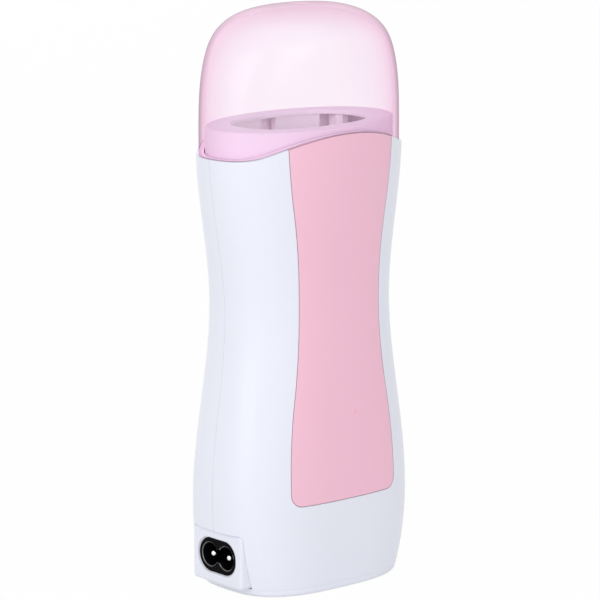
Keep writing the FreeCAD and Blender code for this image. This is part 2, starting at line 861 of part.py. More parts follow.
def screw_holes(prefix, side):
    """Pilots in the front, clearance and counterbore in the rear, pilots for the base screws."""
    holes = []
    pilot = "screw_radius + thread_clearance"
    for tag, way in SIDES:
        foot = ("%d * base_screw_x" % way, "%d * base_screw_y" % side, "base_thickness")
        depth = "base_boss_height - thread_relief"
        holes.append(rod(prefix + "BasePilot" + tag, "+z", pilot, depth, *foot))
        x, z = "%d * shell_screw_x" % way, "shell_screw_height"
        if side < 0:
            depth = "shell_screw_length - shell_screw_seat_y + thread_relief"
            holes.append(rod(prefix + "Pilot" + tag, "-y", pilot, depth, x, "0", z))
            continue
        clear, bore = "screw_radius + screw_play", "shell_screw_head_radius + screw_play"
        holes.append(rod(prefix + "Clear" + tag, "+y", clear, "beyond_y", x, "0", z))
        holes.append(rod(prefix + "Bore" + tag, "+y", bore, "beyond_y", x, "shell_screw_seat_y", z))
    return holes


def make_shell(name, side, extra_ribs, extra_holes):
    """One moulded half: skin, panel recess, ribs, bosses and holes."""
    half = half_space(name + "Half", side)
    skin = common(name + "Skin", hollow_form, shell_envelope, half)
    window = hourglass_block(name + "Window", "0", side > 0)
    recess = cut(name + "Recess", window, floor_form)
    ribs = [
        *screw_bosses(name, side),
        *base_bosses(name, side),
        *shelf_ribs(name, side),
        *cradle_ribs(name, side),
        lock_rib(name),
        *extra_ribs,
    ]
    ribs_inside = common(name + "Ribs", fuse(name + "RibSet", *ribs), rib_form, half)
    whole = fuse(name + "Whole", cut(name + "Recessed", skin, recess), ribs_inside)
    return node(name, cut(name, whole, inlet_opening, *screw_holes(name, side), *extra_holes))


def make_grip(name, side, *holes):
    """One soft hourglass panel, flush with the shell around it."""
    outline = hourglass_block(name + "Outline", "panel_gap", side > 0)
    skin = cut(name + "Skin", common(name + "Blank", outer_form, shell_envelope, outline), panel_back_form)
    return node(name, cut(name, skin, *holes) if holes else skin)


def card_guide(name, low_x):
    """A rib with a slot that holds one edge of the indicator board."""
    return box(
        name,
        (low_x, "guide_width"),
        ("-beyond_y", "beyond_y - board_back_y + guide_lip"),
        ("board_bottom_height - guide_lip", "guide_height"),
    )


# ---------------------------------------------------------------------------------------
# Collar with the deck and the cartridge opening
# ---------------------------------------------------------------------------------------


def make_deck():
    """Deck plate, collar with its lock groove, and the skirt that guides the cartridge."""
    bottom, top, underside = size("collar_bottom_height"), size("deck_height"), size("deck_underside")
    squareness, roll = size("rim_squareness"), size("deck_edge_radius")
    halves = cover_halves(size("collar_inset"))
    inner_halves = cover_halves(size("collar_inset") + size("collar_wall"))
    blank = oval_prism("CollarBlank", halves, squareness, (bottom, top - roll))
    crown = by_code(
        "CollarCrown",
        Part.makeLoft(rolled_wires(lambda level: halves, squareness, top, roll, 1), True, False),
    )
    hollow = oval_prism("CollarHollow", inner_halves, squareness, (bottom, underside))
    groove = cut("Groove", level_slab("GrooveSlab", "0"), collar_core("GrooveCore", 0.0))
    open_collar = cut("CollarOpen", fuse("CollarSoft", blank, crown), hollow, groove)
    opening = well_prism("WellOpening", 0.0, (underside - size("run_out"), top))
    collar = fuse("CollarShape", open_collar, guide_skirt())
    node("top_deck", cut("top_deck", collar, opening, lead_in(top)))


def guide_skirt():
    """The skirt under the opening: windows above, a ring round the heating sleeve's top below."""
    underside, skirt_bottom = size("deck_underside"), size("skirt_bottom_height")
    ring_bottom = skirt_bottom - size("sleeve_ring_height")
    ring_play = size("sleeve_wall") + size("fit_clearance")
    skirt = cut(
        "Skirt",
        well_prism("SkirtOutside", ring_play + size("sleeve_ring_wall"), (ring_bottom, underside)),
        well_prism("SkirtInside", size("skirt_step"), (skirt_bottom, underside)),
        well_prism("RingInside", ring_play, (ring_bottom, skirt_bottom)),
    )
    return cut("SkirtOpen", skirt, *skirt_windows())


def skirt_windows():
    """Boxes that cut a window in each end, in the middle of each side and near each corner."""
    level = ("skirt_bottom_height", "skirt_height")
    across, along = ("-beyond_x", "2 * beyond_x"), ("-beyond_y", "2 * beyond_y")
    windows = [
        box("EndWindows", across, ("-end_window_width / 2", "end_window_width"), level),
        box("MiddleWindows", ("-middle_window_width / 2", "middle_window_width"), along, level),
    ]
    for tag, low_x in (("Left", "-side_window_x - side_window_width"), ("Right", "side_window_x")):
        windows.append(box("SideWindows" + tag, (low_x, "side_window_width"), along, level))
    return windows


def well_prism(name, grow, levels):
    """An upright prism on the outline of the cartridge opening, grown all round."""
    halves = (size("well_half_width") + grow, size("well_half_depth") + grow)
    return oval_prism(name, halves, size("well_squareness"), levels)


def lead_in(deck_top):
    """The chamfer round the mouth of the opening."""
    width, depth, chamfer = size("well_half_width"), size("well_half_depth"), size("well_lead_in")
    squareness = size("well_squareness")
    narrow = oval_wire(width, depth, squareness, deck_top - chamfer)
    wide = oval_wire(width + chamfer, depth + chamfer, squareness, deck_top)
    return by_code("LeadIn", Part.makeLoft([narrow, wide], True, True))


# ---------------------------------------------------------------------------------------
# Transparent cover
# ---------------------------------------------------------------------------------------

COVER_STEPS = 12
CROWN_FLAT = 0.05


def fall_off(height, start, top, fullness):
    """How far a side has drawn in at a height: 1 up to the start, 0 at the top."""
    rise = max(0.0, (height - start) / (top - start))
    return (1 - rise**fullness) ** (1 / fullness)


def cover_form(name, inset):
    """The cover's outer form, or the same form drawn in by its wall."""
    half_width, half_depth = cover_halves(inset)
    side, cheek = size("cover_side_height"), size("cover_cheek_height")
    top = size("overall_height") - inset
    levels = [size("wave_trough_height") - size("cover_wall")]
    for step in range(COVER_STEPS):
        levels.append(side + (top - side) * math.sin(math.pi / 2 * step / COVER_STEPS))
    levels.append(top - CROWN_FLAT)
    wires = []
    for level in levels:
        width = half_width * fall_off(level, side, top, size("cover_side_fullness"))
        depth = half_depth * fall_off(level, cheek, top, size("cover_cheek_fullness"))
        wires.append(oval_wire(width, depth, size("rim_squareness"), level))
    return by_code(name, Part.makeLoft(wires, True, False))


def make_cap():
    dimple_size = "(dimple_radius^2 + dimple_depth^2) / (2 * dimple_depth)"
    dimple = ball("Dimple", dimple_size, "0", "0", "overall_height - dimple_depth + " + dimple_size)
    below = wave_block("CoverEnvelope", "cover_seat_gap")
    outside = cut("CoverOutside", cover_form("CoverForm", 0.0), below, dimple)
    node("cap", cut("cap", outside, cover_form("CoverHollow", size("cover_wall"))))


# ---------------------------------------------------------------------------------------
# Base plate and screws
# ---------------------------------------------------------------------------------------


def screw(name, ways, head, length, seat):
    """A pan-head screw: the shank runs the first way from its seat, the head the second."""
    shank = rod(name + "Shank", ways[0], "screw_radius", length, *seat)
    return fuse(name, shank, rod(name + "Head", ways[1], *head, *seat))


def make_base():
    top, squareness = size("base_thickness"), size("foot_squareness")
    wires = [oval_wire(*skin_halves(top), squareness, top)]
    wires += rolled_wires(skin_halves, squareness, 0.0, size("base_edge_radius"), -1)
    plate = by_code("BaseSlab", Part.makeLoft(wires, True, False))
    levels = (top, top + size("lip_height"))
    inset = size("shell_wall") + size("fit_clearance")
    outside = [half - inset for half in skin_halves(top)]
    inside = [half - size("lip_wall") for half in outside]
    ring = cut(
        "LipRing",
        oval_prism("LipOutside", outside, squareness_at(levels[1]), levels),
        oval_prism("LipInside", inside, squareness_at(levels[1]), levels),
    )
    lip = cut("Lip", ring, *lip_gaps())
    head = ("base_screw_head_radius", "base_screw_head_height")
    sink = "base_screw_sink + base_screw_head_height"
    holes, screws = [], []
    for row, side in (("Front", -1), ("Rear", 1)):
        for tag, way in SIDES:
            name, x, y = "Base" + row + tag, "%d * base_screw_x" % way, "%d * base_screw_y" % side
            holes.append(rod(name + "Hole", "+z", "screw_radius + screw_play", "base_thickness", x, y, "0"))
            holes.append(rod(name + "Sink", "+z", "base_screw_head_radius + screw_play", sink, x, y, "0"))
            screws.append(screw(name + "Screw", ("+z", "-z"), head, "base_screw_length", (x, y, sink)))
    node("base_plate", cut("base_plate", fuse("BaseShape", plate, lip), *holes))
    node("base_screws", group("base_screws", *screws))


def lip_gaps():
    """Where the locating lip stops for the bosses and for the inlet block."""
    gaps = [
        box(
            "LipInletGap",
            ("-beyond_x", "beyond_x - inlet_back_x + inlet_depth / 2"),
            ("-inlet_half_width - lip_room", "2 * (inlet_half_width + lip_room)"),
            ("base_thickness", "lip_height"),
        )
    ]
    for tag, way in SIDES:
        low_x = "%d * base_screw_x - base_boss_radius - lip_room" % way
        gaps.append(
            box(
                "LipRibGap" + tag,
                (low_x, "2 * (base_boss_radius + lip_room)"),
                ("-beyond_y", "2 * beyond_y"),
                ("base_thickness", "lip_height"),
            )
        )
    return gaps


def make_shell_screws():
    head = ("shell_screw_head_radius", "shell_screw_head_height")
    screws = []
    for tag, way in SIDES:
        seat = ("%d * shell_screw_x" % way, "shell_screw_seat_y", "shell_screw_height")
        screws.append(screw("ShellScrew" + tag, ("-y", "+y"), head, "shell_screw_length", seat))
    node("shell_screws", group("shell_screws", *screws))


# ---------------------------------------------------------------------------------------
# Heating well
# ---------------------------------------------------------------------------------------


def make_well():
    """Aluminium sleeve with a flat for the heater, and the tray the cartridge stands on."""
    levels = (size("seat_top_height"), size("sleeve_top_height"))
    pad = box(
        "SleevePad",
        ("-pad_half_width", "2 * pad_half_width"),
        ("0", "pad_face_y"),
        ("pad_bottom_height", "pad_length"),
    )
    tube = well_prism("SleeveOutside", size("sleeve_wall"), levels)
    bore = well_prism("SleeveBore", 0.0, levels)
    node("heating_sleeve", cut("heating_sleeve", fuse("SleeveShape", tube, pad), bore))
    play = size("sleeve_wall") + size("fit_clearance")
    bottom, floor = size("seat_height"), size("seat_top_height")
    rim_top = floor + size("seat_rim_height")
    tray = cut(
        "SeatTray",
        well_prism("SeatOutside", play + size("seat_rim_wall"), (bottom, rim_top)),
        well_prism("SeatInside", play, (floor, rim_top)),
    )
    drain = rod("SeatDrain", "+z", "seat_drain_radius", "seat_thickness", "0", "0", "seat_height")
    node("cartridge_seat", cut("cartridge_seat", tray, drain))


def make_heater():
    """PTC block with its two terminals, the insulating sheet and the spring clip behind it."""
    block = box(
        "PtcBlock",
        ("-ptc_half_width", "2 * ptc_half_width"),
        ("pad_face_y", "ptc_thickness"),
        ("ptc_bottom_height", "ptc_length"),
    )
    tabs = []
    for tag, way in SIDES:
        tabs.append(
            box(
                "PtcTab" + tag,
                ("%d * ptc_tab_x - ptc_tab_width / 2" % way, "ptc_tab_width"),
                ("pad_face_y + (ptc_thickness - ptc_tab_thickness) / 2", "ptc_tab_thickness"),
                ("ptc_bottom_height - ptc_tab_length", "ptc_tab_length + ptc_tab_root"),
            )
        )
    node("ptc_heater", fuse("ptc_heater", block, *tabs))
    node(
        "insulation_sheet",
        box(
            "insulation_sheet",
            ("-ptc_half_width", "2 * ptc_half_width"),
            ("ptc_back_y", "insulator_thickness"),
            ("ptc_bottom_height", "ptc_length"),
        ),
    )
    clip_low = "pad_bottom_height + (pad_length - clip_length) / 2"
    clip = box(
        "ClipBack",
        ("-pad_half_width - clip_thickness", "2 * (pad_half_width + clip_thickness)"),
        ("clip_face_y", "clip_thickness"),
        (clip_low, "clip_length"),
    )
    legs = []
    for tag, low_x in (("Left", "-pad_half_width - clip_thickness"), ("Right", "pad_half_width")):
        legs.append(
            box(
                "ClipLeg" + tag,
                (low_x, "clip_thickness"),
                ("pad_face_y - clip_grip", "clip_back_y - pad_face_y + clip_grip"),
                (clip_low, "clip_length"),
            )
        )
    node("heater_clip", fuse("heater_clip", clip, *legs))


def clip_presser():
    """The rib on the rear shell that keeps the heater clip pressed on."""
    return box(
        "ClipPresser",
        ("-rib_thickness / 2", "rib_thickness"),
        ("clip_back_y + contact_gap", "beyond_y"),
        ("pad_bottom_height + (pad_length - presser_height) / 2", "presser_height"),
    )


# ---------------------------------------------------------------------------------------
# Indicator light
# ---------------------------------------------------------------------------------------


def make_indicator():
    """Light pipe in the front wall, the LED behind it, its board and two resistors."""
    x, z = "indicator_x", "indicator_height"
    stem = rod("LensRod", "-y", "lens_radius", "beyond_y", x, "-lens_head_y", z)
    head = rod("LensDisc", "-y", "lens_head_radius", "beyond_y", x, "-lens_head_y", z)
    pipe = (common("LensStem", stem, outer_form), common("LensHead", head, seat_form))
    node("indicator_lens", fuse("indicator_lens", *pipe))
    dome_y = "-board_face_y - led_length + led_radius"
    node(
        "indicator_led",
        fuse(
            "indicator_led",
            rod("LedFlange", "-y", "led_flange_radius", "led_flange_thickness", x, "-board_face_y", z),
            rod("LedBarrel", "-y", "led_radius", "led_length - led_radius", x, "-board_face_y", z),
            ball("LedDome", "led_radius", x, dome_y, z),
        ),
    )
    node(
        "indicator_board",
        box(
            "indicator_board",
            ("-board_left_x", "board_left_x + board_right_x"),
            ("-board_face_y", "board_thickness"),
            ("board_bottom_height", "board_height"),
        ),
    )
    resistors = [resistor("ResistorA", "-resistor_pitch"), resistor("ResistorB", "0")]
    node("board_resistors", group("board_resistors", *resistors))


def resistor(name, x):
    """An axial resistor along Z behind the board, on a wire bent to the board at both ends."""
    face, axis = -size("board_back_y"), -size("board_back_y") + size("resistor_radius")
    low = size("board_bottom_height") + size("resistor_low") - size("resistor_wire_reach")
    high = low + size("resistor_length") + 2 * size("resistor_wire_reach")
    ends = [(size(x), y, z) for y, z in ((face, low), (axis, low), (axis, high), (face, high))]
    wire = lead(name + "Wire", size("resistor_wire_radius"), ends)
    foot = (x, "-board_back_y + resistor_radius", "board_bottom_height + resistor_low")
    return fuse(name, rod(name + "Body", "+z", "resistor_radius", "resistor_length", *foot), wire)


def board_room():
    """The slot that the board slides into."""
    return box(
        "BoardRoom",
        ("-board_left_x - fit_clearance", "board_left_x + board_right_x + 2 * fit_clearance"),
        ("-board_face_y - fit_clearance", "board_thickness + 2 * fit_clearance"),
        ("board_bottom_height", "board_height"),
    )


# ---------------------------------------------------------------------------------------
# Thermal fuse and leads
# ---------------------------------------------------------------------------------------

BEND_SHARE = 0.45

# For each lead: how far it runs straight out of its first end, the hand-chosen points that it
# passes, and how far it runs straight into its last end
ROUTES = {
    "LiveToFuse": (9.0, [(-0.6, 11.0, 19.0)], 7.5),
    "LiveToHeater": (6.0, [], 8.0),
    "neutral_lead": (10.0, [(5.0, -1.0, 18.6), (9.0, 6.0, 26.6), (8.0, 12.0, 36.1), (7.0, 16.0, 48.0)], 11.0),
    "LedLeadA": (5.0, [(-5.0, -7.5, 14.1), (-3.0, -11.0, 22.1), (-2.0, -13.5, 30.1)], 8.0),
    "LedLeadB": (6.0, [(-2.0, 0.5, 11.1), (1.0, -6.0, 12.6), (4.5, -12.0, 21.1)], 10.0),
}


def lead(name, radius, points):
    """A round insulated lead: straight runs joined by tangent arcs."""
    corners = [FreeCAD.Vector(*point) for point in points]
    edges, start = [], corners[0]
    for before, corner, after in zip(corners, corners[1:], corners[2:]):
        inward, onward = before - corner, after - corner
        trim = BEND_SHARE * min(inward.Length, onward.Length)
        half_turn = (math.pi - inward.getAngle(onward)) / 2
        bend = trim / math.tan(half_turn)
        inward.normalize()
        onward.normalize()
        middle_way = (inward + onward).normalize()
        entry, leave = corner + inward * trim, corner + onward * trim
        middle = corner + middle_way * (bend / math.cos(half_turn) - bend)
        edges.append(Part.LineSegment(start, entry).toShape())
        edges.append(Part.Arc(entry, middle, leave).toShape())
        start = leave
    edges.append(Part.LineSegment(start, corners[-1]).toShape())
    section = Part.Wire([Part.makeCircle(radius, corners[0], corners[1] - corners[0])])
    return by_code(name, Part.Wire(edges).makePipeShell([section], True, False))


def routed(name, radius, ends, ways):
    """A lead from one end to the other by its route; ways are the ways it sets off and arrives."""
    run_out, passed, run_in = ROUTES[name]
    start, finish = [FreeCAD.Vector(*end) for end in ends]
    straight = [start + WAYS[ways[0]] * run_out, *passed, finish - WAYS[ways[1]] * run_in]
    return lead(name, radius, [start, *straight, finish])


FUSE_WIRE_ENDS = ("fuse_height - fuse_wire_length", "fuse_height + fuse_length + fuse_wire_length")


def make_fuse():
    """The thermal cut-off: a small metal can with a wire at each end."""
    reach = "fuse_length + 2 * fuse_wire_length"
    can = rod("FuseCan", "+z", "fuse_radius", "fuse_length", "0", "fuse_y", "fuse_height")
    wire = rod("FuseWire", "+z", "lead_radius", reach, "0", "fuse_y", "fuse_height - fuse_wire_length")
    node("thermal_fuse", fuse("thermal_fuse", can, wire))


def make_leads():
    """Live through the fuse to one heater terminal, neutral to the other, and the LED's pair."""
    radius, thin = size("lead_radius"), size("led_lead_radius")
    tab_x, pitch = -size("socket_back_x") + size("tab_length"), size("pin_half_pitch")
    thick_z = size("inlet_centre_height") + size("tab_width") / 2 - radius
    thin_z = size("inlet_centre_height") - size("tab_width") / 2 + thin
    fuse_ends = [(0.0, size("fuse_y"), size(z)) for z in FUSE_WIRE_ENDS]
    terminal_x = size("ptc_tab_x")
    terminal_y = size("pad_face_y + (ptc_thickness + ptc_tab_thickness) / 2 + contact_gap") + radius
    terminal_z = size("ptc_bottom_height - ptc_tab_length + lead_lap")
    live = [
        routed("LiveToFuse", radius, [(tab_x, pitch, thick_z), fuse_ends[0]], ("+x", "+z")),
        routed("LiveToHeater", radius, [fuse_ends[1], (-terminal_x, terminal_y, terminal_z)], ("+z", "+z")),
    ]
    node("live_lead", group("live_lead", *live))
    neutral_ends = [(tab_x, -pitch, thick_z), (terminal_x, terminal_y, terminal_z)]
    node("neutral_lead", routed("neutral_lead", radius, neutral_ends, ("+x", "+z")))
    pair = []
    for name, y, board_x in (("LedLeadA", -pitch, "led_lead_a_x"), ("LedLeadB", pitch, "led_lead_b_x")):
        board_end = (size(board_x), -size("board_face_y - board_thickness / 2"), size("board_bottom_height"))
        pair.append(routed(name, thin, [(tab_x, y, thin_z), board_end], ("+x", "+z")))
    node("led_leads", group("led_leads", *pair))


# ---------------------------------------------------------------------------------------
# Build, check and write
# ---------------------------------------------------------------------------------------

lens_foot = ("indicator_x", "-lens_head_y", "indicator_height")
lens_hole = rod("LensHole", "-y", "lens_radius + fit_clearance", "beyond_y", *lens_foot)
guides = [
    card_guide("LeftGuide", "-board_left_x + guide_grip - guide_width"),
    card_guide("RightGuide", "board_right_x - guide_grip"),
]
make_shell("front_shell", -1, guides, [board_room(), lens_hole])
make_shell("rear_shell", 1, [clip_presser()], [])
make_grip("front_grip", -1, lens_hole)
make_grip("rear_grip", 1)
make_deck()
make_cap()
make_base()
make_shell_screws()
make_inlet()
make_well()
make_heater()
make_indicator()
make_fuse()
make_leads()

doc.recompute()
failed = [thing.Name for thing in doc.Objects if {"Invalid", "Error"} & set(thing.State)]
broken = [thing.Label for thing in NODES if thing.Shape.isNull() or not thing.Shape.isValid()]
if failed or broken:
    sys.exit("features that failed: %s, sub-parts that are not sound: %s" % (failed, broken))

os.makedirs("parts", exist_ok=True)
for thing in NODES:
    thing.Shape.exportStep("parts/%s.step" % thing.Label)
print("sub-parts written:", len(NODES))
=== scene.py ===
import json
import math

import bpy
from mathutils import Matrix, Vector


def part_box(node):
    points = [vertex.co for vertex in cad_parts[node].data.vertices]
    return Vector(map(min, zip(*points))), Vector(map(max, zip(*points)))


# Looks of a handheld roll-on wax heater: glossy white shells, satin pink grips, a clear pink
# cap over the cartridge well, and a black mains socket. Lengths are in metres.

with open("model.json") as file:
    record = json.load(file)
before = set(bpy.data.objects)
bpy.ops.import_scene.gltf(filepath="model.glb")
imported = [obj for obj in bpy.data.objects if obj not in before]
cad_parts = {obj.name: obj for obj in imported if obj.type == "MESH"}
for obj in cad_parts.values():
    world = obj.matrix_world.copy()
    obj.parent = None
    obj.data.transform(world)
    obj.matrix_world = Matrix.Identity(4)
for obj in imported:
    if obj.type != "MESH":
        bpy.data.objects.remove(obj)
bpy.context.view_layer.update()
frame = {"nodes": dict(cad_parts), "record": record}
nodes = frame["nodes"]
scene = bpy.context.scene

WHITE = (1.0, 1.0, 1.0, 1.0)


# ---------------------------------------------------------------------------------------
# Node helpers
# ---------------------------------------------------------------------------------------

# the mix node's colour sockets share their names with its other sockets, so they go by number
FIRST_COLOUR, SECOND_COLOUR, MIXED_COLOUR = 6, 7, 2


def new_material(name):
    """A material with only its output; returns the material, its tree and the output node."""
    material = bpy.data.materials.new(name)
    material.use_nodes = True
    tree = material.node_tree
    tree.nodes.clear()
    return material, tree, tree.nodes.new("ShaderNodeOutputMaterial")


def feed(tree, socket, value):
    """Links a socket to an input, or sets the input to a plain value."""
    if isinstance(value, bpy.types.NodeSocket):
        tree.links.new(value, socket)
    else:
        socket.default_value = value


def add(tree, kind, **inputs):
    """A node with its inputs fed by name, with an underscore for each space in a name."""
    node = tree.nodes.new(kind)
    for name, value in inputs.items():
        feed(tree, node.inputs[name.replace("_", " ")], value)
    return node


def noise(tree, scale, detail=2.0):
    """Noise in the piece's own coordinates, as a 0 to 1 socket."""
    place = tree.nodes.new("ShaderNodeTexCoord").outputs["Object"]
    return add(tree, "ShaderNodeTexNoise", Vector=place, Scale=scale, Detail=detail).outputs["Fac"]


def spread(tree, factor, low, high):
    """The factor stretched to run from low to high."""
    return add(tree, "ShaderNodeMapRange", Value=factor, To_Min=low, To_Max=high).outputs["Result"]


def math_node(tree, operation, first, second, clamp=False):
    """One operation on two numbers or sockets."""
    node = tree.nodes.new("ShaderNodeMath")
    node.operation = operation
    node.use_clamp = clamp
    feed(tree, node.inputs[0], first)
    feed(tree, node.inputs[1], second)
    return node.outputs["Value"]


def blend_colours(tree, factor, first, second):
    """A colour on the way from the first to the second."""
    mix = tree.nodes.new("ShaderNodeMix")
    mix.data_type = "RGBA"
    feed(tree, mix.inputs["Factor"], factor)
    feed(tree, mix.inputs[FIRST_COLOUR], first)
    feed(tree, mix.inputs[SECOND_COLOUR], second)
    return mix.outputs[MIXED_COLOUR]


def mix_shaders(tree, share, first, second):
    """The first shader, with a share of the second."""
    mix = add(tree, "ShaderNodeMixShader", Fac=share)
    feed(tree, mix.inputs[1], first)
    feed(tree, mix.inputs[2], second)
    return mix.outputs["Shader"]


def ramp(tree, factor, stops):
    """A smooth run of colours; each stop is a place from 0 to 1 and its colour."""
    node = add(tree, "ShaderNodeValToRGB", Fac=factor)
    points = node.color_ramp.elements
    while len(points) < len(stops):
        points.new(0.5)
    for point, (place, colour) in zip(points, stops):
        point.position = place
        point.color = (*colour, 1.0)
    return node.outputs["Color"]


# ---------------------------------------------------------------------------------------
# Solid plastics and metals
# ---------------------------------------------------------------------------------------

# noise waves per metre: broad ones move the colour and the gloss, fine ones the relief
BROAD_GRAIN = 22.5
FINE_GRAIN = 900.0
FINE_DETAIL = 3.0
RELIEF = 0.00002
GLOSS_SPREAD = 0.1
COAT_ROUGHNESS = 0.12


def shifted(colour, share):
    """The colour made lighter or darker by a share, as a socket takes it."""
    return (*(min(1.0, part * share) for part in colour), 1.0)


def surface(name, colour, roughness, metal=0.0, coat=0.0, mottle=0.03, shine=0.5, glow=0.0):
    """A solid finish whose colour, gloss and relief all vary a little from place to place; glow adds a
    painted glow in the finish's own colour.
    """
    material, tree, output = new_material(name)
    broad = noise(tree, BROAD_GRAIN)
    fine = noise(tree, FINE_GRAIN, FINE_DETAIL)
    tint = blend_colours(tree, broad, shifted(colour, 1 - mottle), shifted(colour, 1 + mottle))
    gloss = spread(tree, broad, roughness * (1 - GLOSS_SPREAD), roughness * (1 + GLOSS_SPREAD))
    bump = add(tree, "ShaderNodeBump", Height=fine, Strength=1.0, Distance=RELIEF)
    shader = add(
        tree,
        "ShaderNodeBsdfPrincipled",
        Base_Color=tint,
        Roughness=gloss,
        Metallic=metal,
        Normal=bump.outputs["Normal"],
        Coat_Weight=coat,
        Coat_Roughness=COAT_ROUGHNESS,
        Specular_IOR_Level=shine,
        Emission_Color=(*colour, 1.0),
        Emission_Strength=glow,
    )
    feed(tree, output.inputs["Surface"], shader.outputs["BSDF"])
    return material


# ---------------------------------------------------------------------------------------
# Clear plastic
# ---------------------------------------------------------------------------------------

# share of light the clear wall mirrors seen square on, and what edge on adds to it
FACE_GLOSS, EDGE_GLOSS = 0.014, 0.07
EDGE_POWER = 5.0
CLEAR_ROUGHNESS = 0.22
CLEAR_GRAIN, CLEAR_DRIFT = 12.0, 0.015

# the clear wall's colour by how far it is seen edge on: on the cap's sides, on its crown, and
# on its inner faces
OUTER_SIDE = (
    (0.0, (0.999, 0.964, 0.998)),
    (0.35, (0.989, 0.925, 0.974)),
    (0.55, (0.982, 0.865, 0.942)),
    (0.62, (0.965, 0.815, 0.910)),
    (0.70, (0.860, 0.710, 0.800)),
    (0.85, (0.730, 0.600, 0.680)),
)
OUTER_CROWN = (
    (0.0, (0.998, 0.960, 0.997)),
    (0.5, (0.952, 0.830, 0.908)),
    (0.8, (0.925, 0.785, 0.862)),
    (0.92, (0.800, 0.690, 0.765)),
)
INNER = (
    (0.0, (0.999, 0.990, 0.998)),
    (1.0, (0.985, 0.950, 0.970)),
)


def clear_plastic(name, side_stops, crown_stops):
    """A thin clear wall: light passes straight through, deeper in colour where seen edge on."""
    material, tree, output = new_material(name)
    facing = add(tree, "ShaderNodeLayerWeight", Blend=0.5).outputs["Facing"]
    drift = spread(tree, noise(tree, CLEAR_GRAIN), -CLEAR_DRIFT, CLEAR_DRIFT)
    edge = math_node(tree, "ADD", facing, drift, clamp=True)
    way = tree.nodes.new("ShaderNodeTexCoord").outputs["Normal"]
    upward = add(tree, "ShaderNodeSeparateXYZ", Vector=way).outputs["Z"]
    crown = math_node(tree, "MULTIPLY", upward, upward, clamp=True)
    side_colour, crown_colour = ramp(tree, edge, side_stops), ramp(tree, edge, crown_stops)
    colour = blend_colours(tree, crown, side_colour, crown_colour)
    through = add(tree, "ShaderNodeBsdfTransparent", Color=colour).outputs["BSDF"]
    mirror = add(tree, "ShaderNodeBsdfGlossy", Color=WHITE, Roughness=CLEAR_ROUGHNESS).outputs["BSDF"]
    gloss = math_node(tree, "MULTIPLY", math_node(tree, "POWER", facing, EDGE_POWER), EDGE_GLOSS)
    gloss = math_node(tree, "ADD", gloss, FACE_GLOSS)
    feed(tree, output.inputs["Surface"], mix_shaders(tree, gloss, through, mirror))
    return material


# ---------------------------------------------------------------------------------------
# Finishes
# ---------------------------------------------------------------------------------------

FINISHES = {
    "shell_white": surface("shell_white", (0.83, 0.845, 0.92), 0.34, coat=0.1, mottle=0.008, shine=0.4),
    "deck_white": surface("deck_white", (0.94, 0.785, 0.905), 0.5, mottle=0.01, shine=0.03),
    "grip_pink": surface("grip_pink", (0.93, 0.545, 0.668), 0.45, mottle=0.012, shine=0.4),
    "clear_pink": clear_plastic("clear_pink", OUTER_SIDE, OUTER_CROWN),
    "socket_black": surface("socket_black", (0.004, 0.004, 0.005), 0.3, mottle=0.1, shine=0.02),
    "contact_metal": surface("contact_metal", (0.85, 0.85, 0.86), 0.15, metal=1.0),
    "lens_milky": surface("lens_milky", (0.89, 0.51, 0.63), 0.4, mottle=0.012, shine=0.4),
    "led_clear": surface("led_clear", (0.80, 0.22, 0.16), 0.2),
    "board_green": surface("board_green", (0.03, 0.16, 0.06), 0.45, mottle=0.1),
    "resistor_tan": surface("resistor_tan", (0.55, 0.38, 0.20), 0.5, mottle=0.1),
    "bare_aluminium": surface("bare_aluminium", (0.86, 0.86, 0.88), 0.42, metal=0.75),
    "inner_plastic": surface("inner_plastic", (0.62, 0.62, 0.65), 0.5),
    "heater_grey": surface("heater_grey", (0.50, 0.50, 0.52), 0.4, metal=1.0),
    "insulation_amber": surface("insulation_amber", (0.62, 0.30, 0.05), 0.35, mottle=0.08),
    "spring_steel": surface("spring_steel", (0.56, 0.56, 0.58), 0.3, metal=1.0),
    "fuse_metal": surface("fuse_metal", (0.66, 0.66, 0.68), 0.3, metal=1.0),
    "lead_brown": surface("lead_brown", (0.12, 0.045, 0.02), 0.5, mottle=0.1),
    "lead_blue": surface("lead_blue", (0.02, 0.08, 0.35), 0.5, mottle=0.1),
    "lead_grey": surface("lead_grey", (0.28, 0.28, 0.30), 0.5, mottle=0.1),
    "screw_steel": surface("screw_steel", (0.55, 0.55, 0.58), 0.3, metal=1.0),
}

# finishes of the fine chamfers, and of the faces that differ from the rest of their piece; most of them
# paint light or shade
# painted shade: the grips' chamfer is darker than the grip, standing in for the shade in the gap round
# them
GRIP_GAP_SHADE = surface("grip_edge_painted_shade", (0.42, 0.27, 0.34), 0.5)
# partly painted highlight: the socket's mouth chamfer has real gloss, and a colour lighter than the
# black that paints its highlight
SOCKET_MOUTH_SHEEN = surface("socket_edge_painted_sheen", (0.06, 0.06, 0.065), 0.2, coat=0.5, shine=1.0)
# painted shade: the bezel's hole chamfer is greyer than the shell, standing in for the shade of its lip
BEZEL_LIP_SHADE = surface("bezel_edge_painted_shade", (0.64, 0.65, 0.70), 0.4, mottle=0.01)
# painted shade: the seam chamfer is darker than the shell, standing in for the shade in the seam's gap
SEAM_GAP_SHADE = surface("seam_edge_painted_shade", (0.66, 0.66, 0.72), 0.4, mottle=0.01)
CAP_INSIDE = clear_plastic("clear_pink_inside", INNER, INNER)
# painted light: the cap's foot glows pink, to lighten the shade of the gaps round it
CAP_FOOT_GLOW = surface("clear_pink_foot_painted_glow", (0.96, 0.76, 0.89), 0.3, glow=0.06)
# painted light: the well's walls are lighter than the deck and glow, to cancel the shade of the rim
WELL_WALL_GLOW = surface("well_wall_painted_glow", (0.99, 0.85, 0.94), 0.5, mottle=0.01, glow=0.10)
